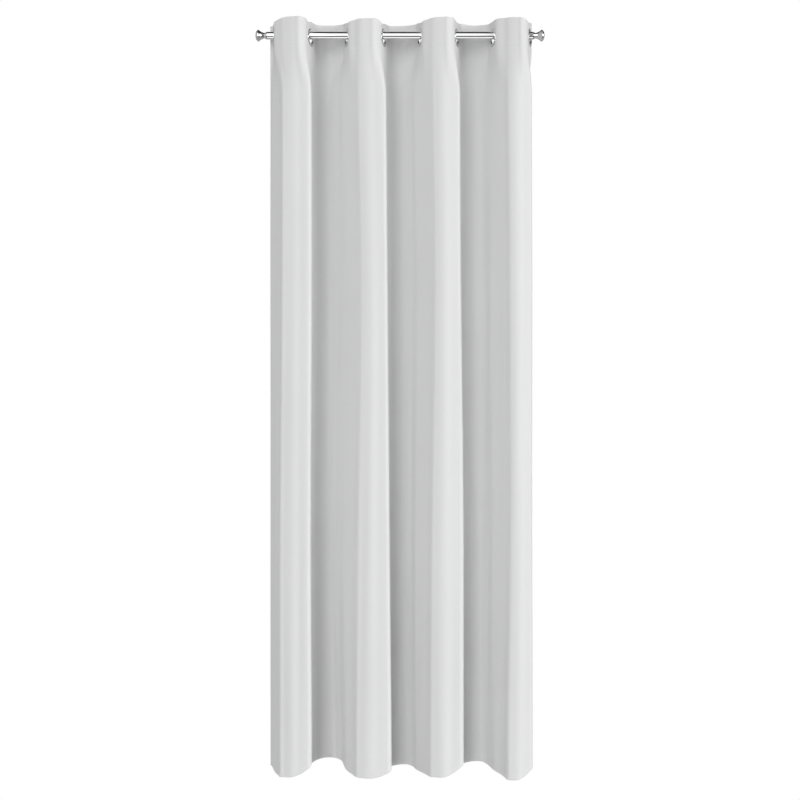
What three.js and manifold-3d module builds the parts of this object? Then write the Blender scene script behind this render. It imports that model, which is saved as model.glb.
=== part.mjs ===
// Eyelet curtain panel hanging on its own rod. The cloth runs through eight snap eyelets and folds
// alternately forwards and backwards between them; a trumpet finial closes each end of the rod.
// Millimetres. The rod's axis is X through the origin, +Z is up and the room side is -Y.

import * as THREE from 'three';
import { mergeVertices } from 'three/addons/utils/BufferGeometryUtils.js';
import Module from 'manifold-3d';

const wasm = await Module();
wasm.setup();

// ---- driving dimensions ----
const GAP = 0.3; // clearance left between pieces that touch

const ROD_RADIUS = 12.5;
const ROD_WALL = 1.2;
const ROD_LENGTH = 885;
const ROD_SEGMENTS = 32;

const EYELET_COUNT = 8;
const EYELET_PITCH = 121.7; // along the rod
const EYELET_STEP = 188; // along the flat cloth
const EYELET_BORE_RADIUS = 20;
const EYELET_FLANGE_RADIUS = 30;
const EYELET_BARREL_WALL = 1.8;
const EYELET_FLANGE_RISE = 1.6;
const EYELET_BEVEL = 3.5; // slope of the flange's face down to its edge
const EYELET_LIP = 2.5; // slope of the flange's face down into the bore
const EYELET_BACK_LIP = 1.5; // the same slope on the back half
const EYELET_EDGE = 0.5; // thickness of the flange's edge
const EYELET_CATCH = 0.4; // how far inside the back half's face the barrel ends
const CLOTH_HOLE_CLEARANCE = 0.2; // cloth cut back from the barrel, beyond GAP
const EYELET_ANGLE = THREE.MathUtils.degToRad(74); // between the cloth at an eyelet and the rod
const EYELET_SEGMENTS = 28;

const PANEL_SHIFT = 6; // the panel's middle lies this far to the right of the rod's
const PANEL_HEIGHT = 2500;
const EYELET_DROP = 55; // from the cloth's top edge to the eyelet's centre
const SIDE_MARGIN = 42; // flat cloth beyond the first and last eyelet
const FLAT_HALF = 31; // cloth held flat on each side of an eyelet's centre
const LEAF_SLIT = 7; // open strip between one leaf of cloth and the next
const CROWN_STEP = 11; // facet length around a fold
const CLOTH = 0.8;
const HEADING_DEPTH = 100;
const STIFFENER = 0.4;

const LABEL_WIDTH = 30;
const LABEL_HEIGHT = 55;
const LABEL_THICKNESS = 0.4;
const LABEL_ABOVE_HEM = 70;
const LABEL_FROM_BEND = 2; // kept back from where the flat cloth ends

const FINIAL_LENGTH = 39;
const FINIAL_RIM_RADIUS = 20;
const FINIAL_NECK_RADIUS = 9;
const FINIAL_RIM_WIDTH = 2;
const FINIAL_RIM_STEP = 1; // the dome starts this far inside the rim
const FINIAL_DOME = 8;
const FINIAL_FLARE_START = 8; // from the rod's end
const FINIAL_FLARE_POWER = 1.75;
const FINIAL_FLARE_STEPS = 5;
const FINIAL_DOME_STEPS = 3;
const BEAD_START = 1.3; // the bead's full radius runs from here
const BEAD_END = 3.4; // to here
const BEAD_FOOT = 4.8; // and its outer shoulder ends here
const BEAD_CHAMFER = 1;
const FINIAL_SEGMENTS = 28;
const PLUG_LENGTH = 25;
const PLUG_LEAD = 3; // length of the plug's tapered tip
const PLUG_LEAD_DEPTH = 1.5;
const STUD_RADIUS = 3;
const STUD_IN_PLUG = 20;
const STUD_IN_FINIAL = 12;

// ---- sizes that follow from them ----
const STACK = 2 * CLOTH + STIFFENER + 2 * GAP; // cloth, stiffener and facing at the heading
const BARREL_RADIUS = EYELET_BORE_RADIUS + EYELET_BARREL_WALL;
const CLOTH_HOLE_RADIUS = BARREL_RADIUS + GAP + CLOTH_HOLE_CLEARANCE;
const EYELET_Z = ROD_RADIUS + GAP - EYELET_BORE_RADIUS; // the bore's top rests on the rod
const TOP_Z = EYELET_Z + EYELET_DROP;
const HEM_Z = TOP_Z - PANEL_HEIGHT;
const CROWN = foldCrown();

// ---- materials ----
const CHROME = { color: 0xd8dadd, metalness: 1, roughness: 0.12 };
const FABRIC = { color: 0xc9c9cb, metalness: 0, roughness: 0.85 };
const BUCKRAM = { color: 0xeceae4, metalness: 0, roughness: 0.9 };
const SATIN_TAPE = { color: 0xf4f4f2, metalness: 0, roughness: 0.6 };
const NYLON = { color: 0x2b2c2e, metalness: 0, roughness: 0.6 };
const STEEL = { color: 0x9c9ea0, metalness: 0.9, roughness: 0.4 };

// ---- shared helpers ----
function named(name, geometry, look) {
  const mesh = new THREE.Mesh(geometry, new THREE.MeshStandardMaterial(look));
  mesh.name = name;
  return mesh;
}

function toSolid(geometry) {
  const bare = geometry.clone();
  bare.deleteAttribute('normal');
  bare.deleteAttribute('uv');
  const merged = mergeVertices(bare, 1e-4);
  return new wasm.Manifold(new wasm.Mesh({
    numProp: 3,
    vertProperties: new Float32Array(merged.attributes.position.array),
    triVerts: new Uint32Array(merged.index.array),
  }));
}

function toGeometry(solid) {
  const { vertProperties, triVerts } = solid.getMesh();
  const geometry = new THREE.BufferGeometry();
  geometry.setAttribute('position', new THREE.BufferAttribute(new Float32Array(vertProperties), 3));
  geometry.setIndex(new THREE.BufferAttribute(new Uint32Array(triVerts), 1));
  return geometry;
}

// A turned piece about the X axis, from [along the axis, radius] points. The outline closes on
// itself, unless both its ends lie on the axis.
function turned(profile, segments) {
  const outline = profile.map(([along, radius]) => new THREE.Vector2(radius, along));
  if (outline[0].x > 0) {
    outline.push(outline[0].clone());
  }
  return new THREE.LatheGeometry(outline, segments).rotateZ(-Math.PI / 2);
}

// ---- the fold's section ----
// Beyond the flat stretch at an eyelet the cloth turns through an arc to the next one. The arc's
// half angle follows from the pitch on the rod and the length of cloth between two eyelets.
function foldCrown() {
  const arcLength = EYELET_STEP - 2 * FLAT_HALF;
  const span = EYELET_PITCH - 2 * FLAT_HALF * Math.cos(EYELET_ANGLE);
  let low = 0.1;
  let high = Math.PI / 2;
  for (let i = 0; i < 50; i++) {
    const middle = (low + high) / 2;
    if (Math.sin(middle) / middle > span / arcLength) {
      low = middle;
    } else {
      high = middle;
    }
  }
  return { halfAngle: low, radius: arcLength / (2 * low) };
}

// A point at arc length s from a leaf's eyelet, moved aside by an offset towards the wrong side.
// It is in the leaf's own axes: +X is the cloth's wrong side at the eyelet, and the cloth runs
// towards -Y. The fold is alike on both sides of the eyelet, turned half way round.
function foldPoint(leaf, s, offset) {
  const kink = EYELET_ANGLE - CROWN.halfAngle;
  const run = Math.abs(s);
  const bent = run > FLAT_HALF;
  const heading = bent ? kink + (run - FLAT_HALF) / CROWN.radius : 0;
  const along = bent ? FLAT_HALF + CROWN.radius * (Math.sin(heading) - Math.sin(kink)) : run;
  const aside = bent ? CROWN.radius * (Math.cos(kink) - Math.cos(heading)) : 0;
  const facing = run === FLAT_HALF ? kink / 2 : heading;
  const x = -leaf.turn * Math.sign(s) * aside + offset * Math.cos(facing);
  const y = -Math.sign(s) * along - leaf.turn * offset * Math.sin(facing);
  return [x, y];
}

// Arc lengths at which a leaf is faceted, from its first edge to its last.
function foldStations(leaf) {
  const stations = [leaf.first, -FLAT_HALF, FLAT_HALF];
  const steps = Math.max(Math.round((leaf.last - FLAT_HALF) / CROWN_STEP), 1);
  for (let i = 1; i <= steps; i++) {
    stations.push(THREE.MathUtils.lerp(FLAT_HALF, leaf.last, i / steps));
  }
  return stations;
}

// Cloth that follows a leaf's fold. Its outline is a closed list of [offset, height] corners.
function foldedCloth(leaf, outline) {
  const stations = foldStations(leaf);
  const ring = (s) => outline.flatMap(([offset, z]) => [...foldPoint(leaf, s, offset), z]);
  const positions = stations.flatMap(ring);
  const corners = outline.length;
  const last = (stations.length - 1) * corners;
  const index = [];
  for (let from = 0; from < last; from += corners) {
    for (let i = 0; i < corners; i++) {
      const next = (i + 1) % corners;
      index.push(from + i, from + corners + next, from + corners + i);
      index.push(from + i, from + next, from + corners + next);
    }
  }
  const flat = outline.map(([offset, z]) => new THREE.Vector2(offset, z));
  for (const [a, b, c] of THREE.ShapeUtils.triangulateShape(flat, [])) {
    index.push(a, c, b, last + a, last + b, last + c);
  }
  const geometry = new THREE.BufferGeometry();
  geometry.setAttribute('position', new THREE.Float32BufferAttribute(positions, 3));
  return geometry.setIndex(index);
}

function withEyeletHole(cloth) {
  const reach = 4 * STACK;
  const radius = CLOTH_HOLE_RADIUS;
  const hole = new THREE.CylinderGeometry(radius, radius, reach, EYELET_SEGMENTS);
  hole.rotateZ(-Math.PI / 2).translate(0, 0, EYELET_Z);
  return toGeometry(toSolid(cloth).subtract(toSolid(hole)));
}

// ---- pieces of one leaf ----
// The face cloth runs the full height and is turned down behind the stiffener at the top.
function panelLeaf(leaf) {
  const faceSide = -STACK / 2;
  const wrongSide = STACK / 2;
  const cloth = foldedCloth(leaf, [
    [faceSide, HEM_Z],
    [faceSide + CLOTH, HEM_Z],
    [faceSide + CLOTH, TOP_Z - CLOTH],
    [wrongSide - CLOTH, TOP_Z - CLOTH],
    [wrongSide - CLOTH, TOP_Z - HEADING_DEPTH],
    [wrongSide, TOP_Z - HEADING_DEPTH],
    [wrongSide, TOP_Z],
    [faceSide, TOP_Z],
  ]);
  return named(`panel_${leaf.number}`, withEyeletHole(cloth), FABRIC);
}

function stiffenerLeaf(leaf) {
  const half = STIFFENER / 2;
  const low = TOP_Z - HEADING_DEPTH;
  const high = TOP_Z - CLOTH - GAP;
  const strip = foldedCloth(leaf, [[-half, low], [half, low], [half, high], [-half, high]]);
  return named(`heading_stiffener_${leaf.number}`, withEyeletHole(strip), BUCKRAM);
}

// The room-side half carries the barrel, and the wrong-side half snaps over it.
function eyeletFront() {
  const seat = -STACK / 2 - GAP;
  const outer = seat - EYELET_FLANGE_RISE;
  const barrelEnd = STACK / 2 + GAP + EYELET_FLANGE_RISE - EYELET_CATCH;
  return turned([
    [seat - EYELET_EDGE, EYELET_BORE_RADIUS],
    [outer, EYELET_BORE_RADIUS + EYELET_LIP],
    [outer, EYELET_FLANGE_RADIUS - EYELET_BEVEL],
    [seat - EYELET_EDGE, EYELET_FLANGE_RADIUS],
    [seat, EYELET_FLANGE_RADIUS],
    [seat, BARREL_RADIUS],
    [barrelEnd, BARREL_RADIUS],
    [barrelEnd, EYELET_BORE_RADIUS],
  ], EYELET_SEGMENTS);
}

function eyeletBack() {
  const seat = STACK / 2 + GAP;
  const outer = seat + EYELET_FLANGE_RISE;
  const inner = BARREL_RADIUS + GAP;
  return turned([
    [seat, inner],
    [seat, EYELET_FLANGE_RADIUS],
    [seat + EYELET_EDGE, EYELET_FLANGE_RADIUS],
    [outer, EYELET_FLANGE_RADIUS - EYELET_BEVEL],
    [outer, inner + EYELET_BACK_LIP],
    [outer - EYELET_CATCH, inner],
  ], EYELET_SEGMENTS);
}

function eyeletHalves(leaf) {
  const front = named(`eyelet_front_${leaf.number}`, eyeletFront(), CHROME);
  const back = named(`eyelet_back_${leaf.number}`, eyeletBack(), CHROME);
  front.position.z = EYELET_Z;
  back.position.z = EYELET_Z;
  return [front, back];
}

// A blank care label sewn to the wrong side near the first side hem.
function careLabel() {
  const label = new THREE.BoxGeometry(LABEL_THICKNESS, LABEL_WIDTH, LABEL_HEIGHT);
  const mesh = named('care_label', label, SATIN_TAPE);
  const behindFace = -STACK / 2 + CLOTH + GAP;
  mesh.position.x = behindFace + LABEL_THICKNESS / 2;
  mesh.position.y = FLAT_HALF - LABEL_FROM_BEND - LABEL_WIDTH / 2;
  mesh.position.z = HEM_Z + LABEL_ABOVE_HEM + LABEL_HEIGHT / 2;
  return mesh;
}

function leafOfPanel(leaf) {
  const group = new THREE.Group();
  group.position.x = leaf.x;
  group.rotation.z = Math.atan2(Math.cos(EYELET_ANGLE), -leaf.turn * Math.sin(EYELET_ANGLE));
  group.add(panelLeaf(leaf), stiffenerLeaf(leaf), ...eyeletHalves(leaf));
  return group;
}

// ---- the rod and its finials ----
function rodTube() {
  const half = ROD_LENGTH / 2;
  const bore = ROD_RADIUS - ROD_WALL;
  return turned([
    [-half, bore],
    [-half, ROD_RADIUS],
    [half, ROD_RADIUS],
    [half, bore],
  ], ROD_SEGMENTS);
}

// Trumpet profile: a bead at the rod, a narrow neck, a flare to the rim and a shallow dome.
// Distances run outwards from the rod's end.
function finialBody() {
  const pocketRadius = STUD_RADIUS + GAP;
  const pocketEnd = STUD_IN_FINIAL + GAP;
  const domeStart = FINIAL_LENGTH - FINIAL_DOME;
  const rimStart = domeStart - FINIAL_RIM_WIDTH;
  const outline = [
    [GAP, pocketRadius],
    [GAP, ROD_RADIUS - BEAD_CHAMFER],
    [BEAD_START, ROD_RADIUS],
    [BEAD_END, ROD_RADIUS],
    [BEAD_FOOT, ROD_RADIUS - BEAD_CHAMFER],
  ];
  for (let i = 0; i <= FINIAL_FLARE_STEPS; i++) {
    const share = i / FINIAL_FLARE_STEPS;
    const flare = (FINIAL_RIM_RADIUS - FINIAL_NECK_RADIUS) * share ** FINIAL_FLARE_POWER;
    const along = THREE.MathUtils.lerp(FINIAL_FLARE_START, rimStart, share);
    outline.push([along, FINIAL_NECK_RADIUS + flare]);
  }
  outline.push([domeStart, FINIAL_RIM_RADIUS]);
  for (let i = 1; i < FINIAL_DOME_STEPS; i++) {
    const angle = (i / FINIAL_DOME_STEPS) * Math.PI / 2;
    const radius = (FINIAL_RIM_RADIUS - FINIAL_RIM_STEP) * Math.cos(angle);
    outline.push([domeStart + FINIAL_DOME * Math.sin(angle), radius]);
  }
  outline.push([FINIAL_LENGTH, 0], [pocketEnd, 0], [pocketEnd, pocketRadius]);
  return turned(outline, FINIAL_SEGMENTS);
}

function finialPlug() {
  const outer = ROD_RADIUS - ROD_WALL - GAP;
  const inner = STUD_RADIUS + GAP;
  return turned([
    [-PLUG_LENGTH, inner],
    [-PLUG_LENGTH, outer - PLUG_LEAD_DEPTH],
    [-PLUG_LENGTH + PLUG_LEAD, outer],
    [0, outer],
    [0, inner],
  ], FINIAL_SEGMENTS);
}

function finialStud() {
  return turned([
    [-STUD_IN_PLUG, 0],
    [-STUD_IN_PLUG, STUD_RADIUS],
    [STUD_IN_FINIAL, STUD_RADIUS],
    [STUD_IN_FINIAL, 0],
  ], FINIAL_SEGMENTS / 2);
}

function finial(side, direction) {
  const group = new THREE.Group();
  group.position.x = direction * ROD_LENGTH / 2;
  group.rotation.z = direction > 0 ? 0 : Math.PI;
  group.add(named(`finial_${side}`, finialBody(), CHROME));
  group.add(named(`finial_plug_${side}`, finialPlug(), NYLON));
  group.add(named(`finial_stud_${side}`, finialStud(), STEEL));
  return group;
}

// ---- assembly ----
const curtain = new THREE.Group();
curtain.add(named('rod_tube', rodTube(), CHROME));
curtain.add(finial('left', -1));
curtain.add(finial('right', 1));

for (let number = 1; number <= EYELET_COUNT; number++) {
  const group = leafOfPanel({
    number,
    x: PANEL_SHIFT + (number - (EYELET_COUNT + 1) / 2) * EYELET_PITCH,
    turn: number % 2 === 1 ? -1 : 1, // the fold after an odd eyelet stands towards the room
    first: -SIDE_MARGIN,
    last: number < EYELET_COUNT ? EYELET_STEP - SIDE_MARGIN - LEAF_SLIT : SIDE_MARGIN,
  });
  if (number === 1) {
    group.add(careLabel());
  }
  curtain.add(group);
}

export default curtain;
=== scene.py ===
"""Eyelet curtain panel hanging on its rod: the looks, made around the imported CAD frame.

Metres, +Z up, the rod along X and the room on the -Y side. Cloth is laid out by its flat
coordinates: across, from the panel's left edge, and down, from its top edge.
"""

import math

import bpy
import numpy as np
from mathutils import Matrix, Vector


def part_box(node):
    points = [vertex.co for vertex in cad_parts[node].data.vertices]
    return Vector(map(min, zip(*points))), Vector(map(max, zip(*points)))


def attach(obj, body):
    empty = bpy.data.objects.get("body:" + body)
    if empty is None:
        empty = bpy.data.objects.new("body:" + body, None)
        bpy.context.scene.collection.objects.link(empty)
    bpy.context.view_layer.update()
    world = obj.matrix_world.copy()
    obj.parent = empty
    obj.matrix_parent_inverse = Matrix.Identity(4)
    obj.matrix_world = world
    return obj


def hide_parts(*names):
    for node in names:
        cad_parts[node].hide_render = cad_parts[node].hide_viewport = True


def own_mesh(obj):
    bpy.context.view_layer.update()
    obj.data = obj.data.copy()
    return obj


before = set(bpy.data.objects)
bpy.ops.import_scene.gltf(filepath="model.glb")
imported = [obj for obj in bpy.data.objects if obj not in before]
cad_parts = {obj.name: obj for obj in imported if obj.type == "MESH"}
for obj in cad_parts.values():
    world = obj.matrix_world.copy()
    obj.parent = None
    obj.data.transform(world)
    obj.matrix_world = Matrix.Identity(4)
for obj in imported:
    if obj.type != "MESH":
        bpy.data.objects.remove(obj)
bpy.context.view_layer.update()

MM = 0.001

# ---- sizes read from the frame ----


def union_box(*nodes):
    boxes = [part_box(node) for node in nodes]
    low = np.min([np.array(lo) for lo, _ in boxes], axis=0)
    high = np.max([np.array(hi) for _, hi in boxes], axis=0)
    return low, high


def middle(*nodes):
    low, high = union_box(*nodes)
    return (low + high) / 2


NUMBERS = range(1, 9)
EYELET_X = [middle(f"eyelet_front_{k}", f"eyelet_back_{k}")[0] for k in NUMBERS]
EYELET_Z = middle("eyelet_front_1")[2]
FLANGE_RADIUS = np.ptp(union_box("eyelet_front_1"), axis=0)[2] / 2
ROD_LOW, ROD_HIGH = union_box("rod_tube")
ROD_RADIUS = ROD_HIGH[2]
HEM_Z, TOP_Z = (corner[2] for corner in union_box("panel_1"))
HEIGHT = TOP_Z - HEM_Z

# ---- the cloth's own sizes ----
SIDE_MARGIN = 42 * MM
EYELET_STEP = 188 * MM
WIDTH = 2 * SIDE_MARGIN + 7 * EYELET_STEP
CLOTH = 0.7 * MM
STACK_HALF = 1.4 * MM  # half of the heading: face, stiffener and facing
HEADING = 100 * MM
BOTTOM_HEM = 80 * MM
SIDE_HEM = 25 * MM
SIDE_HEM_THICKNESS = 0.8 * MM
SEAM_INSET = 3 * MM  # from a turned edge to its row of stitches
EYELET_ANGLES = (82,) + (74,) * 7  # how far each eyelet is turned from facing the room
BORE_RADIUS = 20 * MM
HOLE_RADIUS = 22.3 * MM
EYELET_DROP = TOP_Z - EYELET_Z
EYELET_ACROSS = [SIDE_MARGIN + i * EYELET_STEP for i in range(8)]


def smoothstep(low, high, value):
    t = np.clip((value - low) / (high - low), 0, 1)
    return t * t * (3 - 2 * t)


def bell(value, centre, width):
    return np.exp(-(((value - centre) / width) ** 2))


# ---- the folds in plan ----
ACROSS = np.linspace(0, WIDTH, 1401)

# Over the heading's folds, in millimetres: the bend's distance past the fold's first eyelet, and
# how far forward the bend and the peak come.
HEADING_BEND = (29, 37, 36, 44)
HEADING_FRONT = ((56, 70), (49, 55), (53, 62), (53, 61))
RECESS_DEPTH = 58 * MM
RECESS_LEAN = (4 * MM, 8 * MM, 2 * MM)  # each recess is deepest this far right of its middle

# The cloth leaves the heading's shape and takes up the hanging folds' between these two heights.
SETTLING_FROM = 82 * MM
SETTLED_BY = 250 * MM


def heading_stations():
    """Across the heading: flat through each eyelet, then over a fold or round a recess."""
    clamped = FLANGE_RADIUS
    stations = [(EYELET_X[0] - 15 * MM, 38 * MM, -52, 0.0)]
    for i, x in enumerate(EYELET_X):
        forward = i % 2 == 0
        side = -1 if forward else 1
        degrees = EYELET_ANGLES[i]
        ahead = clamped * math.sin(math.radians(degrees))
        along = clamped * math.cos(math.radians(degrees))
        stations.append((x - along, -side * ahead, side * degrees, EYELET_ACROSS[i] - clamped))
        stations.append((x + along, side * ahead, side * degrees, EYELET_ACROSS[i] + clamped))
        if i == 7:
            continue
        following = EYELET_X[i + 1]
        if forward:
            at_bend, peak = (depth * MM for depth in HEADING_FRONT[i // 2])
            bend = x + HEADING_BEND[i // 2] * MM
            shoulder = (at_bend + 3 * peak) / 4
            stations.append((bend - 4 * MM, 7 * MM - at_bend, -38, None))
            stations.append((bend + 8 * MM, -at_bend, -17, None))
            stations.append(((bend + following) / 2 - 2 * MM, -shoulder, -8, None))
            stations.append((following - 34 * MM, -peak, 6, None))
            stations.append((following - 15 * MM, 14 * MM - peak, 52, None))
        else:
            half_way = (x + following) / 2
            stations.append((x + 15 * MM, RECESS_DEPTH - 12 * MM, 58, None))
            stations.append((x + 31 * MM, RECESS_DEPTH - 1 * MM, 10, None))
            stations.append((half_way + RECESS_LEAN[i // 2], RECESS_DEPTH, 0, None))
    stations.append((EYELET_X[-1] + 6 * MM, 40 * MM, 88, WIDTH))
    return stations


# Each fold leans to the right below the heading: a long ramp forward, a bend, a broad crest and
# a lip that hangs over the way back. In millimetres from the fold's two eyelets, at four
# heights from just below the heading to the hem.
BEND_FROM_ODD = ((37, 36, 30, 30), (41, 51, 42, 37), (44, 52, 42, 38), (50, 56, 58, 50))
LIP_FROM_EVEN = ((4, 6, 3, 6), (7, 12, 19, 26), (9, 12, 20, 20), (4, 5, 4, 5))
FOOT_FROM_LIP = ((50, 60, 58, 80), (54, 60, 56, 60), (70, 71, 66, 72))
CREST_Y = (-53, -54, -55, -60)
TROUGH_Y = (50, 52, 54, 60)
# Which way the cloth runs over each crest, in degrees, at these shares of the crest's width.
CREST_SHARES = (0.09, 0.28, 0.50, 0.70, 0.90)
CREST_TURNS = (
    (-17, -12, 6, -8, 2),
    (-15, -9, 10, -1, 5),
    (-16, -6, 18, 7, 10),
    (-14, 2, 27, 18, 20),
)
FULLEST = 0.45  # the crests are roundest this far down
RAMP_STARTS_AT = 0.75  # the ramp's slope at its foot and at its top, as shares of its own slope
RAMP_ENDS_AT = 1.18


def at_level(values, t):
    """A smooth reading of four values between the heading and the hem."""
    u = np.clip(t, 0, 1) * 3
    i = min(int(u), 2)
    f = u - i
    p = [values[max(i - 1, 0)], values[i], values[i + 1], values[min(i + 2, 3)]]
    a = 2 * p[1]
    b = p[2] - p[0]
    c = 2 * p[0] - 5 * p[1] + 4 * p[2] - p[3]
    d = -p[0] + 3 * p[1] - 3 * p[2] + p[3]
    return MM * (a + b * f + c * f * f + d * f**3) / 2


def body_stations(t):
    """(x, y, direction in degrees, flat place across or None) along the panel at one height."""
    front = at_level(CREST_Y, t)
    back = at_level(TROUGH_Y, t)
    roundness = 0.85 + 0.45 * bell(t, FULLEST, 0.3)
    stations = [(EYELET_X[0] - 14 * MM, 36 * MM, -70, 0.0)]
    lip = None
    for fold in range(4):
        odd, even = EYELET_X[2 * fold], EYELET_X[2 * fold + 1]
        bend = odd + at_level(BEND_FROM_ODD[fold], t)
        if lip is None:
            foot_x, foot_y = stations[0][:2]
        else:
            trough = at_level(FOOT_FROM_LIP[fold - 1], t)
            foot_x, foot_y = lip + trough, back - 4 * MM
            stations.append((lip + trough / 2, back, 2, None))
        ramp_top = (bend - 6 * MM, front + 7 * MM)
        slope = math.degrees(math.atan2(ramp_top[1] - foot_y, ramp_top[0] - foot_x))
        if lip is not None:
            stations.append((foot_x, foot_y, RAMP_STARTS_AT * slope, None))
        half_way = ((foot_x + ramp_top[0]) / 2, (foot_y + ramp_top[1]) / 2)
        stations.append((*half_way, slope, EYELET_ACROSS[2 * fold]))
        stations.append((*ramp_top, RAMP_ENDS_AT * slope, None))
        lip = even + at_level(LIP_FROM_EVEN[fold], t)
        over = front + 2 * MM
        turns = [turn * (roundness if turn > 0 else 1) for turn in CREST_TURNS[fold]]
        for i, (share, turn) in enumerate(zip(CREST_SHARES, turns)):
            if i:
                run = (share - CREST_SHARES[i - 1]) * (lip - bend)
                over += run * math.tan(math.radians(turn + turns[i - 1]) / 2)
            stations.append((bend + share * (lip - bend), over, turn, None))
        stations.append((lip, over + 13 * MM, 90, None))
        stations.append((lip - 7 * MM, 2 * MM, 97, EYELET_ACROSS[2 * fold + 1]))
        if fold < 3:
            stations.append((lip - 4 * MM, back - 20 * MM, 78, None))
    stations.append((lip - 10 * MM, 42 * MM, 92, WIDTH))
    return stations


def hermite(a, b, samples):
    """Points of a smooth arc between two stations, without its last point."""
    start, end = np.array(a[:2]), np.array(b[:2])
    chord = np.linalg.norm(end - start)
    turn_a, turn_b = math.radians(a[2]), math.radians(b[2])
    leave = chord * np.array([math.cos(turn_a), math.sin(turn_a)])
    arrive = chord * np.array([math.cos(turn_b), math.sin(turn_b)])
    t = np.linspace(0, 1, samples, endpoint=False)[:, None]
    return (
        start * (2 * t**3 - 3 * t**2 + 1)
        + leave * (t**3 - 2 * t**2 + t)
        + end * (3 * t**2 - 2 * t**3)
        + arrive * (t**3 - t**2)
    )


def plan_through(stations):
    """Plan points through the stations, at the same places across as ACROSS."""
    samples = 24
    arcs = [hermite(a, b, samples) for a, b in zip(stations, stations[1:])]
    points = np.vstack([*arcs, np.array(stations[-1][:2])])
    length = np.concatenate([[0], np.cumsum(np.linalg.norm(np.diff(points, axis=0), axis=1))])
    pinned = [(i * samples, s[3]) for i, s in enumerate(stations) if s[3] is not None]
    flat = np.interp(length, length[[i for i, _ in pinned]], [across for _, across in pinned])
    return np.interp(ACROSS, flat, points[:, 0]), np.interp(ACROSS, flat, points[:, 1])


HEADING_PLAN = plan_through(heading_stations())
PLAN_LEVELS = np.linspace(0, 1, 61)
BODY_PLANS = np.array([plan_through(body_stations(t)) for t in PLAN_LEVELS])


def plan(down, across):
    """x and y of the cloth's middle surface, as arrays of rows down by columns across."""
    t = (down - HEADING) / (HEIGHT - HEADING)
    at = np.clip(t, 0, 1) * (len(PLAN_LEVELS) - 1)
    lower = np.minimum(at.astype(int), len(PLAN_LEVELS) - 2)
    share = (at - lower)[:, None, None]
    body = BODY_PLANS[lower] * (1 - share) + BODY_PLANS[lower + 1] * share
    settled = smoothstep(SETTLING_FROM, SETTLED_BY, down)[:, None, None]
    rows = np.array(HEADING_PLAN)[None] * (1 - settled) + body * settled
    columns = [[np.interp(across, ACROSS, row[axis]) for row in rows] for axis in (0, 1)]
    return np.array(columns[0]), np.array(columns[1])


# ---- small unevenness of hanging cloth ----
RIPPLES = (
    # wavelength across, height, turns of drift down the panel, start phase
    (43 * MM, 0.30 * MM, 1.1, 0.3),
    (58 * MM, 0.40 * MM, -0.8, 2.1),
    (91 * MM, 0.60 * MM, 0.6, 4.4),
    (31 * MM, 0.16 * MM, 1.7, 1.2),
)
RIDGES = (
    # across, half width and height of a long soft ridge that runs down a fold's ramp
    (366 * MM, 13 * MM, 2.1 * MM),
    (424 * MM, 16 * MM, 2.2 * MM),
    (728 * MM, 13 * MM, 2.0 * MM),
    (780 * MM, 16 * MM, 2.1 * MM),
    (1092 * MM, 13 * MM, 2.1 * MM),
    (1158 * MM, 17 * MM, 2.4 * MM),
    (1238 * MM, 14 * MM, 1.3 * MM),
)
TUCKS = (
    # across, down, half width, half length, height of a small pucker under the rod
    (316 * MM, 84 * MM, 7 * MM, 26 * MM, 5.0 * MM),
    (334 * MM, 90 * MM, 6 * MM, 22 * MM, -4.5 * MM),
    (698 * MM, 86 * MM, 7 * MM, 24 * MM, 4.6 * MM),
    (716 * MM, 84 * MM, 6 * MM, 28 * MM, -4.2 * MM),
    (1080 * MM, 90 * MM, 6 * MM, 18 * MM, 1.6 * MM),
)
HEM_LIFTS = (
    # across, how far the hem rises there (or sinks, below zero), half width
    (12 * MM, 13 * MM, 20 * MM),
    (195 * MM, 42 * MM, 45 * MM),
    (322 * MM, 29 * MM, 60 * MM),
    (388 * MM, 17 * MM, 32 * MM),
    (520 * MM, -4 * MM, 40 * MM),
    (571 * MM, 20 * MM, 36 * MM),
    (712 * MM, 6 * MM, 66 * MM),
    (951 * MM, 39 * MM, 36 * MM),
    (1082 * MM, 17 * MM, 75 * MM),
    (1253 * MM, -10 * MM, 55 * MM),
    (1323 * MM, 27 * MM, 30 * MM),
)
EDGE_DIPS = (
    # across, how far the top edge sinks there (or rises, below zero), half width
    (0 * MM, 7 * MM, 14 * MM),
    (30 * MM, 5 * MM, 24 * MM),
    (68 * MM, 11 * MM, 26 * MM),
    (203 * MM, 7 * MM, 24 * MM),
    (440 * MM, 9 * MM, 36 * MM),
    (525 * MM, 3 * MM, 45 * MM),
    (588 * MM, 10 * MM, 27 * MM),
    (640 * MM, 3 * MM, 60 * MM),
    (816 * MM, 8 * MM, 34 * MM),
    (985 * MM, 3 * MM, 20 * MM),
    (1043 * MM, -4 * MM, 20 * MM),
    (1330 * MM, 10 * MM, 34 * MM),
)
HEM_LIFT_FROM = 900 * MM  # down; the hem's lifts fade out above this
EDGE_DIP_TO = 32 * MM  # down; the top edge's dips fade out below this


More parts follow.
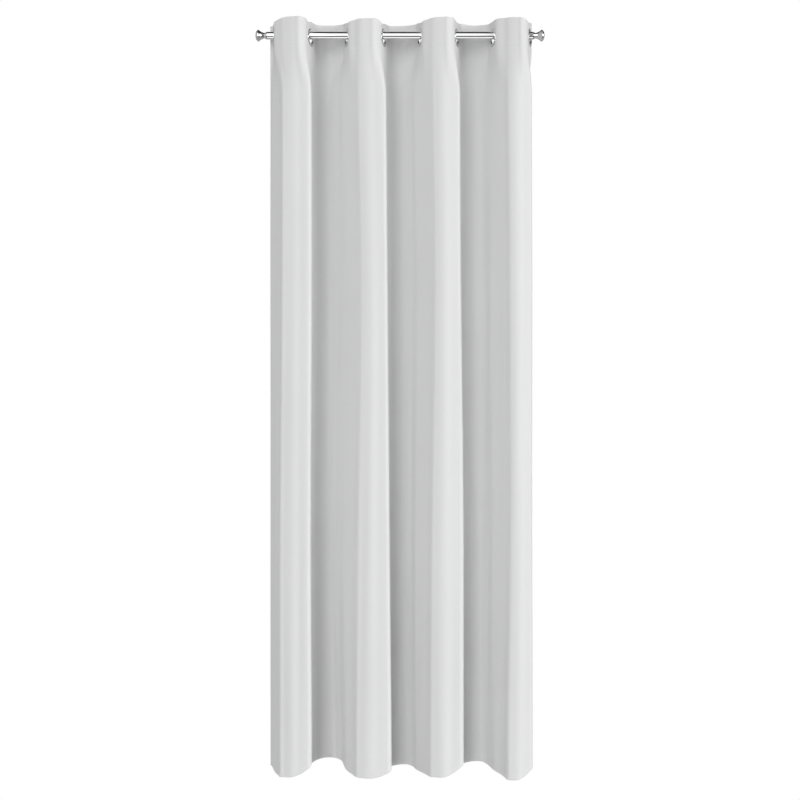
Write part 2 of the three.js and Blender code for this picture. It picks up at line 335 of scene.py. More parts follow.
def unevenness(down, across):
    """How far the cloth stands out of its plain fold, as rows down by columns across."""
    d, s = down[:, None], across[None, :]
    body = smoothstep(0.10, 0.34, d)
    out = np.zeros((len(down), len(across)))
    for wavelength, height, drift, phase in RIPPLES:
        wander = phase + drift * d / HEIGHT * 2 * math.pi + 0.7 * np.sin(3.1 * d + phase)
        swell = 0.65 + 0.35 * np.sin(1.9 * d + 2.7 * s * math.pi + phase)
        out += height * swell * np.sin(2 * math.pi * s / wavelength + wander)
    for where, half_width, height in RIDGES:
        meander = where + 4 * MM * np.sin(2.3 * d + 40 * where)
        out -= height * (0.8 + 0.3 * np.sin(3.7 * d + 90 * where)) * bell(s, meander, half_width)
    out *= body * 0.9 + 0.1
    for where, depth, half_width, half_length, height in TUCKS:
        out += height * bell(s, where, half_width) * bell(d, depth, half_length)
    seam = bell(d, HEADING - SEAM_INSET, 2.2 * MM)
    pucker = 1 + 0.5 * np.sin(2 * math.pi * s / (11 * MM)) * np.sin(2 * math.pi * s / (83 * MM))
    out += 0.32 * MM * seam * pucker
    hem_seam = bell(d, HEIGHT - BOTTOM_HEM, 2.2 * MM)
    out += 0.08 * MM * hem_seam * pucker
    return out


def lift(down, across):
    """How far the cloth rides up towards its hem and sinks along its top edge."""
    hem = sum(height * bell(across, where, width) for where, height, width in HEM_LIFTS)
    edge = sum(depth * bell(across, where, width) for where, depth, width in EDGE_DIPS)
    near_hem = smoothstep(HEM_LIFT_FROM, HEIGHT, down)[:, None]
    near_top = 1 - smoothstep(0, EDGE_DIP_TO, down)[:, None]
    return near_hem * hem[None, :] - near_top * edge[None, :]


def surface(down, across):
    """Points and wrong-side normals of the cloth's middle surface, as rows by columns by 3."""
    x, y = plan(down, across)
    z = TOP_Z - down[:, None] + lift(down, across)
    points = np.stack([x, y, z], axis=-1)
    normals = surface_normals(points, down, across)
    points = points + normals * unevenness(down, across)[..., None]
    return points, surface_normals(points, down, across)


def surface_normals(points, down, across):
    along = np.gradient(points, across, axis=1)
    below = np.gradient(points, down, axis=0)
    normal = np.cross(along, below)
    return normal / np.linalg.norm(normal, axis=-1, keepdims=True)


# ---- node materials ----
WAVE_BANDS = 20  # light and dark bands of a wave texture in one unit, at a scale of pi


class Nodes:
    """A material's node tree, with short calls for the nodes used here."""

    def __init__(self, name):
        self.material = bpy.data.materials.new(name)
        self.material.use_nodes = True
        self.tree = self.material.node_tree
        self.tree.nodes.clear()
        self.shader = self.node("ShaderNodeBsdfPrincipled")
        output = self.node("ShaderNodeOutputMaterial")
        self.link(self.shader.outputs[0], output.inputs["Surface"])

    def node(self, kind, **settings):
        made = self.tree.nodes.new(kind)
        for key, value in settings.items():
            setattr(made, key, value)
        return made

    def link(self, source, target):
        self.tree.links.new(source, target)

    def set(self, **values):
        for key, value in values.items():
            self.shader.inputs[key.replace("_", " ")].default_value = value

    def coordinates(self, kind, scale=(1, 1, 1)):
        source = self.node("ShaderNodeTexCoord").outputs[kind]
        mapping = self.node("ShaderNodeMapping")
        mapping.inputs["Scale"].default_value = scale
        self.link(source, mapping.inputs["Vector"])
        return mapping.outputs[0]

    def noise(self, vector, scale, detail=2.0, roughness=0.5):
        made = self.node("ShaderNodeTexNoise")
        made.inputs["Scale"].default_value = scale
        made.inputs["Detail"].default_value = detail
        made.inputs["Roughness"].default_value = roughness
        self.link(vector, made.inputs["Vector"])
        return made.outputs["Fac"]

    def wave(self, vector, scale, direction):
        made = self.node("ShaderNodeTexWave", wave_type="BANDS", bands_direction=direction)
        made.inputs["Scale"].default_value = scale
        self.link(vector, made.inputs["Vector"])
        return made.outputs["Fac"]

    def math(self, operation, a, b):
        made = self.node("ShaderNodeMath", operation=operation)
        for socket, value in zip(made.inputs, (a, b)):
            if isinstance(value, (int, float)):
                socket.default_value = value
            else:
                self.link(value, socket)
        return made.outputs[0]

    def spread(self, value, low, high):
        made = self.node("ShaderNodeMapRange")
        made.inputs["To Min"].default_value = low
        made.inputs["To Max"].default_value = high
        self.link(value, made.inputs["Value"])
        return made.outputs[0]

    def tint(self, value, dark, light):
        ramp = self.node("ShaderNodeMix", data_type="RGBA")
        ramp.inputs["A"].default_value = (*dark, 1)
        ramp.inputs["B"].default_value = (*light, 1)
        self.link(value, ramp.inputs["Factor"])
        return ramp.outputs["Result"]

    def bump(self, height, distance, strength=1.0):
        made = self.node("ShaderNodeBump")
        made.inputs["Distance"].default_value = distance
        made.inputs["Strength"].default_value = strength
        self.link(height, made.inputs["Height"])
        self.link(made.outputs[0], self.shader.inputs["Normal"])


def grey(level, warmth=0.0):
    return (level * (1 + warmth), level, level * (1 - warmth))


def woven(name, thread, light, contrast, sheen, coordinates="UV", warmth=-0.002):
    """Plain-woven cloth: thread is the width of one thread on the flat cloth, in metres."""
    nodes = Nodes(name)
    flat = nodes.coordinates(coordinates)
    bands = math.pi / (WAVE_BANDS * thread)
    weave = nodes.math("MAXIMUM", nodes.wave(flat, bands, "X"), nodes.wave(flat, bands, "Y"))
    slub = nodes.noise(nodes.coordinates(coordinates, (6, 900, 1)), 1.0, 3.0)
    clouds = nodes.noise(flat, 3.5, 3.0)
    shade = nodes.math("MULTIPLY", weave, 0.45)
    shade = nodes.math("ADD", shade, nodes.math("MULTIPLY", slub, 0.35))
    shade = nodes.math("ADD", shade, nodes.math("MULTIPLY", clouds, 0.35))
    colour = nodes.tint(shade, grey(light * (1 - contrast), warmth), grey(light, warmth))
    nodes.link(colour, nodes.shader.inputs["Base Color"])
    nodes.link(nodes.spread(slub, 0.62, 0.74), nodes.shader.inputs["Roughness"])
    nodes.set(Sheen_Weight=sheen, Sheen_Roughness=0.45, Specular_IOR_Level=0.35)
    nodes.bump(nodes.math("ADD", weave, nodes.math("MULTIPLY", slub, 0.8)), thread * 0.25, 0.6)
    return nodes.material


def polished(name, level, rough, grain=(1, 1, 1)):
    """Chrome plating with faint polishing marks that run along the grain's short scale."""
    nodes = Nodes(name)
    marks = nodes.noise(nodes.coordinates("Object", grain), 160.0, 4.0, 0.6)
    haze = nodes.noise(nodes.coordinates("Object"), 22.0, 3.0)
    nodes.link(nodes.tint(haze, grey(level * 0.96), grey(level)), nodes.shader.inputs["Base Color"])
    wear = nodes.math("ADD", nodes.math("MULTIPLY", haze, 0.6), nodes.math("MULTIPLY", marks, 0.4))
    nodes.link(nodes.spread(wear, rough * 0.6, rough * 1.5), nodes.shader.inputs["Roughness"])
    nodes.set(Metallic=1.0)
    nodes.bump(marks, 0.00002, 0.25)
    return nodes.material


def moulded(name, level, rough):
    """Moulded nylon with a fine spark-eroded grain."""
    nodes = Nodes(name)
    grain = nodes.noise(nodes.coordinates("Object"), 900.0, 2.0)
    patches = nodes.noise(nodes.coordinates("Object"), 60.0, 2.0)
    colour = nodes.tint(patches, grey(level * 0.85), grey(level))
    nodes.link(colour, nodes.shader.inputs["Base Color"])
    nodes.link(nodes.spread(grain, rough * 0.85, rough * 1.1), nodes.shader.inputs["Roughness"])
    nodes.bump(grain, 0.00008, 0.5)
    return nodes.material


def threaded_steel(name, level, rough, ring):
    """Zinc-grey stud whose thread shows as ridges and grooves along X, each one ring wide."""
    nodes = Nodes(name)
    rings = nodes.wave(nodes.coordinates("Object"), math.pi / (WAVE_BANDS * ring), "X")
    patina = nodes.noise(nodes.coordinates("Object"), 300.0, 3.0)
    colour = nodes.tint(patina, grey(level * 0.8), grey(level))
    nodes.link(colour, nodes.shader.inputs["Base Color"])
    nodes.link(nodes.spread(patina, rough * 0.8, rough * 1.2), nodes.shader.inputs["Roughness"])
    nodes.set(Metallic=1.0)
    nodes.bump(rings, 0.0004, 0.8)
    return nodes.material


CLOTH_LOOK = woven("curtain_cloth", 0.42 * MM, 0.63, 0.08, 0.12)
THREAD_LOOK = woven("sewing_thread", 0.12 * MM, 0.74, 0.16, 0.2, "Object")
BUCKRAM_LOOK = woven("buckram", 0.9 * MM, 0.86, 0.22, 0.05, warmth=0.012)
LABEL_LOOK = woven("label_tape", 0.25 * MM, 0.90, 0.08, 0.3, "Object", warmth=0.004)
ROD_LOOK = polished("rod_chrome", 0.84, 0.07, (0.04, 1, 1))
FINIAL_LOOK = polished("finial_chrome", 0.62, 0.07)
EYELET_LOOK = polished("eyelet_chrome", 0.80, 0.10)
NYLON_LOOK = moulded("plug_nylon", 0.05, 0.55)
STUD_LOOK = threaded_steel("stud_steel", 0.55, 0.38, 0.7 * MM)


# ---- mesh helpers ----


def mesh_object(name, points, faces, look, smooth_below=None, uv=None):
    mesh = bpy.data.meshes.new(name)
    mesh.from_pydata([tuple(p) for p in points], [], faces)
    mesh.validate()
    if uv is not None:
        layer = mesh.uv_layers.new(name="flat")
        corner_vertex = np.zeros(len(mesh.loops), int)
        mesh.loops.foreach_get("vertex_index", corner_vertex)
        layer.data.foreach_set("uv", np.asarray(uv)[corner_vertex].ravel())
    mesh.shade_smooth()
    if smooth_below is not None:
        mesh.set_sharp_from_angle(angle=math.radians(smooth_below))
    mesh.materials.append(look)
    made = bpy.data.objects.new(name, mesh)
    bpy.context.scene.collection.objects.link(made)
    return made


def turned(name, profile, look, segments=96, smooth_below=35):
    """A solid of revolution about X, from a closed loop of (along, radius) points."""
    turn = np.linspace(0, 2 * math.pi, segments, endpoint=False)
    points, index, faces = [], [], []
    for along, radius in profile:
        if radius < 1e-9:
            index.append([len(points)] * segments)
            points.append((along, 0, 0))
            continue
        index.append(list(range(len(points), len(points) + segments)))
        points += [(along, radius * math.cos(a), radius * math.sin(a)) for a in turn]
    for here, there in zip(index, index[1:] + index[:1]):
        for i in range(segments):
            j = (i + 1) % segments
            corners = [here[i], there[i], there[j], here[j]]
            face = [c for n, c in enumerate(corners) if c not in corners[:n]]
            if len(face) > 2:
                faces.append(face)
    return mesh_object(name, points, faces, look, smooth_below)


def rounded(profile, radius, steps=4):
    """A closed profile with every corner off the axis rounded."""
    points = [np.array(p, float) for p in profile]
    result = []
    for before, here, after in zip(points[-1:] + points[:-1], points, points[1:] + points[:1]):
        if here[1] < 1e-9:
            result.append(here)
            continue
        into, out = before - here, after - here
        size_in, size_out = np.linalg.norm(into), np.linalg.norm(out)
        cut = min(radius, 0.45 * size_in, 0.45 * size_out)
        start, end = here + into / size_in * cut, here + out / size_out * cut
        for t in np.linspace(0, 1, steps + 1):
            result.append((1 - t) ** 2 * start + 2 * t * (1 - t) * here + t * t * end)
    return [tuple(p) for p in result]


def place(made, location=(0, 0, 0), turn_z=0.0):
    made.location = location
    made.rotation_euler = (0, 0, turn_z)
    bpy.context.view_layer.update()
    made.data.transform(made.matrix_world)
    made.location = (0, 0, 0)
    made.rotation_euler = (0, 0, 0)
    return made


def draw_with_curtain(made):
    """A soft piece of the panel: it swings with the first leaf, on a mesh of its own."""
    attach(made, "leaf_1")
    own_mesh(made)
    return made


# ---- the cloth ----


def spaced(start, end, step):
    return np.linspace(start, end, max(int(round((end - start) / step)), 1) + 1)


def sheet_columns():
    margin = spaced(0, SIDE_MARGIN, 3.8 * MM)
    between = spaced(SIDE_MARGIN, WIDTH - SIDE_MARGIN, 3.76 * MM)
    return np.unique(np.round(np.concatenate([margin, between, WIDTH - margin]), 6))


def sheet_rows():
    """Rows of the facing behind the heading, the face, and the turned-up hem: down, offset.

    Rows stand closer together at the two seams, where the cloth is pulled in.
    """
    facing_out = STACK_HALF - CLOTH / 2
    face_out = -facing_out
    turn = np.linspace(math.pi / 2, -math.pi / 2, 7)
    rows = [(down, facing_out) for down in spaced(HEADING, 4 * MM, 3.2 * MM)]
    rows += [(STACK_HALF * (1 - math.cos(a)), facing_out * math.sin(a)) for a in turn]
    seam = HEADING - SEAM_INSET
    hem = HEIGHT - BOTTOM_HEM
    face = [
        spaced(4 * MM, seam - 6 * MM, 3.2 * MM),
        spaced(seam - 5 * MM, seam + 5 * MM, 1.25 * MM),
        spaced(seam + 7 * MM, 300 * MM, 7 * MM),
        spaced(312 * MM, hem - 40 * MM, 14 * MM),
        spaced(hem - 30 * MM, hem - 5 * MM, 6 * MM),
        spaced(hem - 4 * MM, hem + 4 * MM, 1.3 * MM),
        spaced(hem + 7 * MM, HEIGHT - 2 * MM, 8 * MM),
    ]
    rows += [(down, face_out) for down in np.concatenate(face)]
    layers = CLOTH + 0.15 * MM  # from the face to the turned-up hem behind it
    rows += [(HEIGHT - 0.4 * MM, face_out + 0.15 * layers)]
    rows += [(HEIGHT, face_out + 0.5 * layers)]
    rows += [(HEIGHT - 0.4 * MM, face_out + 0.85 * layers)]
    rows += [(down, face_out + layers) for down in spaced(HEIGHT - 2 * MM, hem, 8 * MM)]
    return np.array(rows)


def curtain_cloth():
    """The whole sheet, thicker along its side hems, from the facing's end to the hem's end."""
    columns = sheet_columns()
    rows = sheet_rows()
    down, offset = rows[:, 0], rows[:, 1]
    unique, inverse = np.unique(np.round(down, 7), return_inverse=True)
    points, normals = surface(unique, columns)
    middle_layer = points[inverse] + normals[inverse] * offset[:, None, None]
    from_edge = np.minimum(columns, WIDTH - columns)
    side_hem = SIDE_HEM_THICKNESS * (1 - smoothstep(SIDE_HEM - 1 * MM, SIDE_HEM, from_edge))
    outwards = layer_normals(middle_layer)
    face = middle_layer + outwards * CLOTH / 2
    inside = middle_layer - outwards * (CLOTH / 2 + side_hem[None, :, None])
    flat = flat_places(columns, -path_length(middle_layer))
    return closed_sheet("curtain", face, inside, flat, columns, down)


def flat_places(columns, rows):
    return np.stack(np.broadcast_arrays(columns[None, :], rows[:, None]), -1)


def layer_normals(grid):
    """Outward normals of a sheet that runs up behind the heading, down the face and up the hem."""
    along = np.gradient(grid, axis=1)
    onwards = np.gradient(grid, axis=0)
    normal = np.cross(onwards, along)
    return normal / np.linalg.norm(normal, axis=-1, keepdims=True)


def path_length(grid):
    column = grid[:, grid.shape[1] // 2]
    return np.concatenate([[0], np.cumsum(np.linalg.norm(np.diff(column, axis=0), axis=1))])


def eyelet_gaps(columns, down):
    """Which grid cells lie inside an eyelet's hole."""
    mid_across = (columns[:-1] + columns[1:]) / 2
    mid_down = (down[:-1] + down[1:]) / 2
    near = [np.hypot(mid_across[None] - a, mid_down[:, None] - EYELET_DROP) for a in EYELET_ACROSS]
    return np.min(near, axis=0) < HOLE_RADIUS + 1.2 * MM


def closed_sheet(name, outer, inner, flat, columns, down):
    """Both sides of a sheet from their point grids, joined along every edge and hole."""
    rows, cols = outer.shape[:2]
    index = np.arange(rows * cols).reshape(rows, cols)
    quads = np.stack([index[:-1, :-1], index[1:, :-1], index[1:, 1:], index[:-1, 1:]], -1)
    keep = ~eyelet_gaps(columns, down)
    quads = quads[keep]
    edges = np.concatenate([quads[:, [i, (i + 1) % 4]] for i in range(4)])
    both = {tuple(e) for e in edges.tolist()}
    rim = [e for e in both if (e[1], e[0]) not in both]
    size = rows * cols
    faces = quads.tolist() + (quads[:, ::-1] + size).tolist()
    faces += [[b, a, a + size, b + size] for a, b in sorted(rim)]
    points = np.vstack([outer.reshape(-1, 3), inner.reshape(-1, 3)])
    uv = np.vstack([flat.reshape(-1, 2)] * 2)
    used = np.unique(np.array(faces))
    renumber = np.zeros(len(points), int)
    renumber[used] = np.arange(len(used))
    faces = [[int(renumber[i]) for i in f] for f in faces]
    return mesh_object(name, points[used], faces, CLOTH_LOOK, 60, uv[used])


curtain = draw_with_curtain(curtain_cloth())
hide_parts(*[f"panel_{k}" for k in NUMBERS])


# ---- buckram inside the heading ----


def stiffener_strip():
    columns = sheet_columns()
    down = spaced(2.6 * MM, HEADING - 5 * MM, 5 * MM)
    points, normals = surface(down, columns)
    half = 0.2 * MM
    face, back = points - normals * half, points + normals * half
    made = closed_sheet("stiffener", face, back, flat_places(columns, -down), columns, down)
    made.data.materials[0] = BUCKRAM_LOOK
    return made


stiffener = draw_with_curtain(stiffener_strip())
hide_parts(*[f"heading_stiffener_{k}" for k in NUMBERS])


# ---- stitching ----
STITCH = 2.6 * MM
STITCH_STEP = 3.1 * MM
THREAD_RADIUS = 0.2 * MM

# Place along one stitch in half lengths, and how far it rises and how thick it is in thread radii.
STITCH_PROFILE = (
    (-1.0, -0.55, 0.25),
    (-0.7, 0.15, 0.85),
    (0.0, 0.45, 1.0),
    (0.7, 0.15, 0.85),
    (1.0, -0.55, 0.25),
)


def stitches(name, centres, alongs, normals):
    """Short raised stitches, one at each centre, lying along the seam."""
    sides = 6
    across = np.cross(normals, alongs)
    points, faces = [], []
    for centre, along, normal, side in zip(centres, alongs, normals, across):
        base = len(points)
        for place_along, rise, thick in STITCH_PROFILE:
            middle_point = centre + along * place_along * STITCH / 2 + normal * rise * THREAD_RADIUS
            for i in range(sides):
                a = 2 * math.pi * i / sides
                reach = THREAD_RADIUS * thick
                points.append(middle_point + (side * math.cos(a) + normal * math.sin(a)) * reach)
        for ring in range(len(STITCH_PROFILE) - 1):
            for i in range(sides):
                j = (i + 1) % sides
                low, high = base + ring * sides, base + (ring + 1) * sides
                faces.append([low + i, low + j, high + j, high + i])
        faces.append([base + i for i in reversed(range(sides))])
        tip = base + (len(STITCH_PROFILE) - 1) * sides
        faces.append([tip + i for i in range(sides)])
    return mesh_object(name, points, faces, THREAD_LOOK, 60)


def unit(vectors):
    return vectors / np.linalg.norm(vectors, axis=-1, keepdims=True)


def seam_across(name, down, offset, outward):
    places = np.arange(SIDE_MARGIN / 4, WIDTH - SIDE_MARGIN / 4, STITCH_STEP)
    points, normals = surface(np.array([down - 1 * MM, down, down + 1 * MM]), places)
    along = unit(np.gradient(points[1], axis=0))
    return stitches(name, points[1] + normals[1] * offset, along, normals[1] * outward)


def seam_down(name, across, offset, outward):
    places = np.arange(HEADING + 2 * MM, HEIGHT - 2 * MM, STITCH_STEP)
    points, normals = surface(places, np.array([across - 1 * MM, across, across + 1 * MM]))
    along = unit(np.gradient(points[:, 1], axis=0))
    return stitches(name, points[:, 1] + normals[:, 1] * offset, along, normals[:, 1] * outward)


FACE = -STACK_HALF
HEM_STACK = 2 * CLOTH + 0.15 * MM
seams = [
    seam_across("heading_stitches", HEADING - SEAM_INSET, FACE, -1),
    seam_across("heading_stitches_back", HEADING - SEAM_INSET, STACK_HALF, 1),
    seam_across("hem_stitches", HEIGHT - BOTTOM_HEM + SEAM_INSET, FACE, -1),
    seam_across("hem_stitches_back", HEIGHT - BOTTOM_HEM + SEAM_INSET, FACE + HEM_STACK, 1),
    seam_down("left_hem_stitches", SIDE_HEM - SEAM_INSET, FACE, -1),
    seam_down("right_hem_stitches", WIDTH - SIDE_HEM + SEAM_INSET, FACE, -1),
]
for seam in seams:
    draw_with_curtain(seam)


# ---- eyelets ----


def eyelet_front(name):
    """The room-side half: a domed flange with a rolled lip, and the barrel through the cloth."""
    seat = -(STACK_HALF + 0.3 * MM)
    barrel = BORE_RADIUS + 1.8 * MM
    crown = seat - 1.6 * MM
    dome = [(seat, FLANGE_RADIUS), (seat - 0.5 * MM, FLANGE_RADIUS)]
    dome += [(seat - 1.25 * MM, FLANGE_RADIUS - 1.6 * MM), (crown, FLANGE_RADIUS - 4.2 * MM)]
    dome += [(crown, BORE_RADIUS + 2.6 * MM), (seat - 1.2 * MM, BORE_RADIUS + 0.6 * MM)]
    dome += [(seat - 0.3 * MM, BORE_RADIUS)]
    tail = STACK_HALF + 1.5 * MM
    profile = dome + [(tail, BORE_RADIUS), (tail, barrel), (seat, barrel)]
    return turned(name, rounded(profile, 0.7 * MM), EYELET_LOOK)


def eyelet_back(name):
    seat = STACK_HALF + 0.3 * MM
    inner = BORE_RADIUS + 2.1 * MM
    crown = seat + 1.6 * MM
    profile = [(seat, inner), (crown - 0.4 * MM, inner), (crown, inner + 1.4 * MM)]
    profile += [(crown, FLANGE_RADIUS - 4.2 * MM), (seat + 1.2 * MM, FLANGE_RADIUS - 1.6 * MM)]
    profile += [(seat + 0.5 * MM, FLANGE_RADIUS), (seat, FLANGE_RADIUS)]
    return turned(name, rounded(profile, 0.6 * MM), EYELET_LOOK)


for k in NUMBERS:
    towards_right = math.radians(90 - EYELET_ANGLES[k - 1])
    turn_z = towards_right if k % 2 else math.pi - towards_right
    for make, half in ((eyelet_front, "front"), (eyelet_back, "back")):
        ring = place(make(f"ring_{half}_{k}"), (EYELET_X[k - 1], 0, EYELET_Z), turn_z)
        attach(ring, f"leaf_{k}")
        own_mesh(ring)
        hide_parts(f"eyelet_{half}_{k}")


# ---- rod and finials ----
FLARE_POWER = 1.75  # above 1 the flare opens slowly at first, like a trumpet


def rod():
    wall = 1.2 * MM
    low, high = ROD_LOW[0], ROD_HIGH[0]
    bore = ROD_RADIUS - wall
    profile = [(low, bore), (low, ROD_RADIUS), (high, ROD_RADIUS), (high, bore)]
    return turned("rod", rounded(profile, 0.35 * MM), ROD_LOOK, 128)


def arc(centre_along, centre_radius, reach, start, end, count):
    """(along, radius) points of an arc; 0 degrees points away from the axis."""
    turn = np.radians(np.linspace(start, end, count))
    along = centre_along + reach * np.sin(turn)
    radius = centre_radius + reach * np.cos(turn)
    return list(zip(along, radius))


def finial(side, sign):
    """Bead, neck, flare, rim and dome, between the places that the CAD finial gives."""
    low, high = union_box(f"finial_{side}")
    start = high[0] if sign < 0 else low[0]
    length = high[0] - low[0]
    rim = (high[2] - low[2]) / 2
    pocket = 3.3 * MM
    pocket_depth = 12 * MM
    neck = 9 * MM
    flare_start, flare_end = 7 * MM, length - 10 * MM
    profile = [(0, pocket), (0, ROD_RADIUS - 1 * MM)]
    profile += arc(2.2 * MM, ROD_RADIUS - 1.8 * MM, 1.8 * MM, -90, 90, 9)
    for share in np.linspace(0, 1, 18):
        along = flare_start + (flare_end - flare_start) * share
        profile.append((along, neck + (rim - 0.6 * MM - neck) * share**FLARE_POWER))
    profile += arc(flare_end + 1 * MM, rim - 0.9 * MM, 0.9 * MM, -63, 90, 8)
    dome_start, dome_radius = flare_end + 2 * MM, rim - 2.4 * MM
    for turn in np.linspace(0, math.pi / 2, 13):
        along = dome_start + (length - dome_start) * math.sin(turn)
        profile.append((along, dome_radius * math.cos(turn)))
    profile[-1] = (length, 0)
    profile += [(pocket_depth, 0), (pocket_depth, pocket)]
    placed = [(start + sign * along, radius) for along, radius in profile]
    made = turned(f"finial_cap_{side}", placed, FINIAL_LOOK, smooth_below=30)
    if sign < 0:
        made.data.flip_normals()
    return made


rod_piece = rod()
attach(rod_piece, "rod")
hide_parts("rod_tube")
for side, sign in (("left", -1), ("right", 1)):
    cap = finial(side, sign)
    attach(cap, f"finial_{side}")
    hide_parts(f"finial_{side}")
    for part, look in (("plug", NYLON_LOOK), ("stud", STUD_LOOK)):
        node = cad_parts[f"finial_{part}_{side}"]
        node.data.materials.clear()
        node.data.materials.append(look)


# ---- care label ----
LABEL_START = 14 * MM  # across, from the panel's left edge
LABEL_WIDTH = 29 * MM


def care_label():
    """A blank folded tape whose top edge is caught in the side hem's stitching."""
    low, high = union_box("care_label")
    across = spaced(LABEL_START, LABEL_START + LABEL_WIDTH, 2.5 * MM)
    down = spaced(TOP_Z - high[2], TOP_Z - low[2], 3 * MM)
    points, normals = surface(down, across)
    lift_off = FACE + 2 * CLOTH + 0.35 * MM
    curl = 1.2 * MM * smoothstep(across[0], across[-1], across)[None, :, None]
    droop = 0.8 * MM * smoothstep(down[0], down[-1], down)[:, None, None]
    middle_layer = points + normals * (lift_off + curl + droop)
    half = 0.12 * MM
    face, back = middle_layer - normals * half, middle_layer + normals * half
    made = closed_sheet("label", face, back, flat_places(across, -down), across, down)
    made.data.materials[0] = LABEL_LOOK
    return made


label = draw_with_curtain(care_label())
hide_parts("care_label")


# ---- camera, floor and light ----
CAMERA_DISTANCE = 4.36
CAMERA_BELOW_ROD = 1.054
CAMERA_SHIFT = -0.06
FOCAL_LENGTH = 58.878  # in millimetres, with the sensor's width
SENSOR = 36.0
FLOOR_BELOW_HEM = 0.45


def camera():
    data = bpy.data.cameras.new("camera")
    data.sensor_width = SENSOR
    data.lens = FOCAL_LENGTH
    data.shift_y = CAMERA_SHIFT
    made = bpy.data.objects.new("camera", data)
    made.location = (0, -CAMERA_DISTANCE, -CAMERA_BELOW_ROD)
    made.rotation_euler = (math.pi / 2, 0, 0)
    bpy.context.scene.collection.objects.link(made)
    bpy.context.scene.camera = made


def floor():
    nodes = Nodes("floor_paint")
    speckle = nodes.noise(nodes.coordinates("Object"), 6.0, 3.0)
    nodes.link(nodes.tint(speckle, grey(0.80), grey(0.82)), nodes.shader.inputs["Base Color"])
    nodes.set(Roughness=0.9)
    level = HEM_Z - FLOOR_BELOW_HEM
    corners = [(-1.2, -0.6, level), (1.2, -0.6, level), (1.2, 0.95, level), (-1.2, 0.95, level)]
    made = mesh_object("floor", corners, [[0, 1, 2, 3]], nodes.material)


# How bright the studio is ahead of the curtain, by the sine of the angle to its right: a key
# softbox left of the camera, a plain white centre, weak fill, and a tall strip light at the right.
AHEAD = (
    (-1.0, 0.66),
    (-0.56, 0.66),
    (-0.48, 3.9),
    (-0.17, 3.9),
    (-0.12, 1.35),
    (0.14, 1.35),
    (0.20, 0.34),
    (0.72, 0.34),
    (0.80, 10.4),
    (1.0, 10.4),
)
BRIGHTEST = 12.0
BACK_LIGHT = 0.50
CEILING = 0.06
DARK_FLOOR = 0.12  # ahead of the curtain
NADIR = 1.4  # straight below it

# Where the lights lie, in degrees from the horizon ahead, up and over to the horizon behind: each
# fades in between its first two angles and out between its last two.
LIT_AHEAD = (-18, -13, 54, 58)
LOW_AHEAD = (30, 52)  # away from the middle the light ahead ends lower, between these
CEILING_SPAN = (57, 62, 150, 170)
FLOOR_SPAN = (-90, -80, -18, -15)
NADIR_SPAN = (-102, -98, -56, -52)
SHADED_SPAN = (-0.6, -0.4, 0.8, 0.95)  # by the sine: the dark ceiling and floor end at the sides


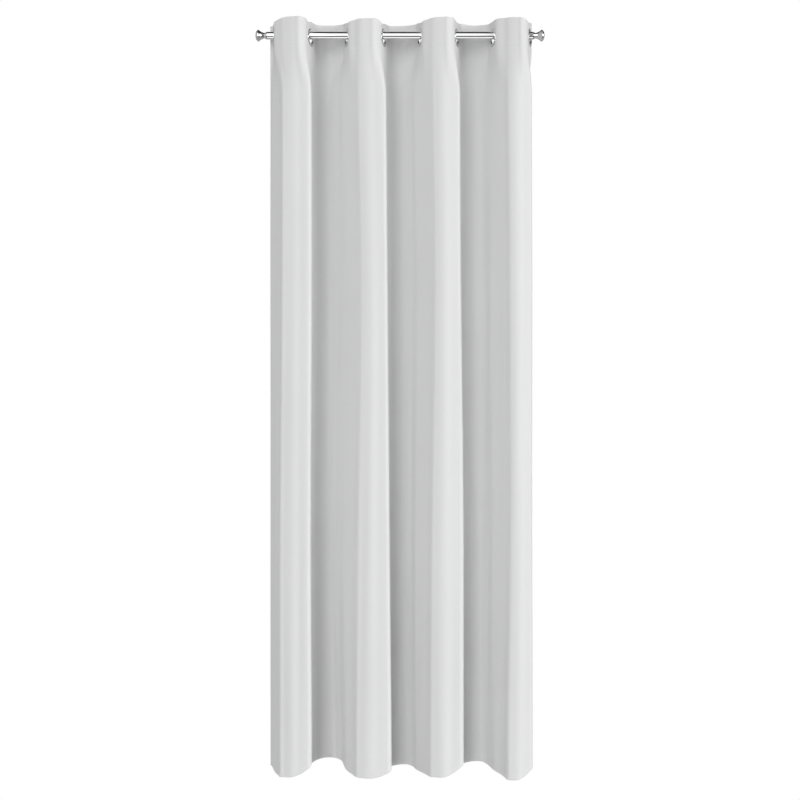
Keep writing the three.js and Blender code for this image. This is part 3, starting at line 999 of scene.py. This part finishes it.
def studio():
    """A soft white studio: wide light ahead, a dark ceiling, and a white sweep behind."""
    world = bpy.data.worlds.new("studio")
    bpy.context.scene.world = world
    world.use_nodes = True
    tree = world.node_tree
    tree.nodes.clear()

    def node(kind, **settings):
        made = tree.nodes.new(kind)
        for key, value in settings.items():
            setattr(made, key, value)
        return made

    def wire(value, socket):
        if isinstance(value, (int, float)):
            socket.default_value = value
        else:
            tree.links.new(value, socket)

    def calculate(operation, *values):
        made = node("ShaderNodeMath", operation=operation)
        for value, socket in zip(values, made.inputs):
            wire(value, socket)
        return made.outputs[0]

    def step(value, start, end):
        made = node("ShaderNodeMapRange", interpolation_type="SMOOTHSTEP")
        wire(value, made.inputs["Value"])
        made.inputs["From Min"].default_value = min(start, end)
        made.inputs["From Max"].default_value = max(start, end)
        made.inputs["To Min"].default_value = 0.0 if start < end else 1.0
        made.inputs["To Max"].default_value = 1.0 if start < end else 0.0
        return made.outputs[0]

    def both(a, b):
        return calculate("MULTIPLY", a, b)

    def span(value, start, full, fading, end):
        return both(step(value, start, full), step(value, end, fading))

    def blended(level, towards, mask):
        made = node("ShaderNodeMix", data_type="FLOAT")
        wire(mask, made.inputs["Factor"])
        wire(level, made.inputs["A"])
        wire(towards, made.inputs["B"])
        return made.outputs["Result"]

    split = node("ShaderNodeSeparateXYZ")
    tree.links.new(node("ShaderNodeTexCoord").outputs["Generated"], split.inputs[0])
    right, away, up = split.outputs
    ahead = calculate("MULTIPLY", away, -1)
    angle = calculate("DEGREES", calculate("ARCTAN2", up, ahead))
    sideways = calculate("ABSOLUTE", right)
    across = node("ShaderNodeValToRGB")
    wire(calculate("MULTIPLY_ADD", right, 0.5, 0.5), across.inputs[0])
    stops = across.color_ramp.elements
    while len(stops) < len(AHEAD):
        stops.new(0.5)
    for stop, (sine, light) in zip(stops, AHEAD):
        stop.position = (sine + 1) / 2
        stop.color = (light / BRIGHTEST,) * 3 + (1,)
    level = blended(AHEAD[0][1], BACK_LIGHT, step(away, -0.1, 0.2))
    low_sides = blended(step(angle, *reversed(LOW_AHEAD)), 1.0, step(sideways, 0.17, 0.12))
    facing = both(both(span(angle, *LIT_AHEAD), low_sides), step(away, 0.05, -0.05))
    level = blended(level, calculate("MULTIPLY", across.outputs[0], BRIGHTEST), facing)
    shaded = span(right, *SHADED_SPAN)
    level = blended(level, CEILING, both(span(angle, *CEILING_SPAN), shaded))
    level = blended(level, DARK_FLOOR, both(span(angle, *FLOOR_SPAN), shaded))
    below = both(span(angle, *NADIR_SPAN), step(sideways, 0.34, 0.22))
    level = blended(level, NADIR, below)
    lighting = node("ShaderNodeBackground")
    wire(level, lighting.inputs["Strength"])
    backdrop = node("ShaderNodeBackground")
    backdrop.inputs["Color"].default_value = (1, 1, 1, 1)
    seen = node("ShaderNodeMixShader")
    wire(node("ShaderNodeLightPath").outputs["Is Camera Ray"], seen.inputs[0])
    wire(lighting.outputs[0], seen.inputs[1])
    wire(backdrop.outputs[0], seen.inputs[2])
    lighting.inputs["Color"].default_value = (1, 1, 1, 1)
    wire(seen.outputs[0], node("ShaderNodeOutputWorld").inputs["Surface"])


camera()
floor()
studio()
bpy.context.scene.view_settings.view_transform = "Standard"
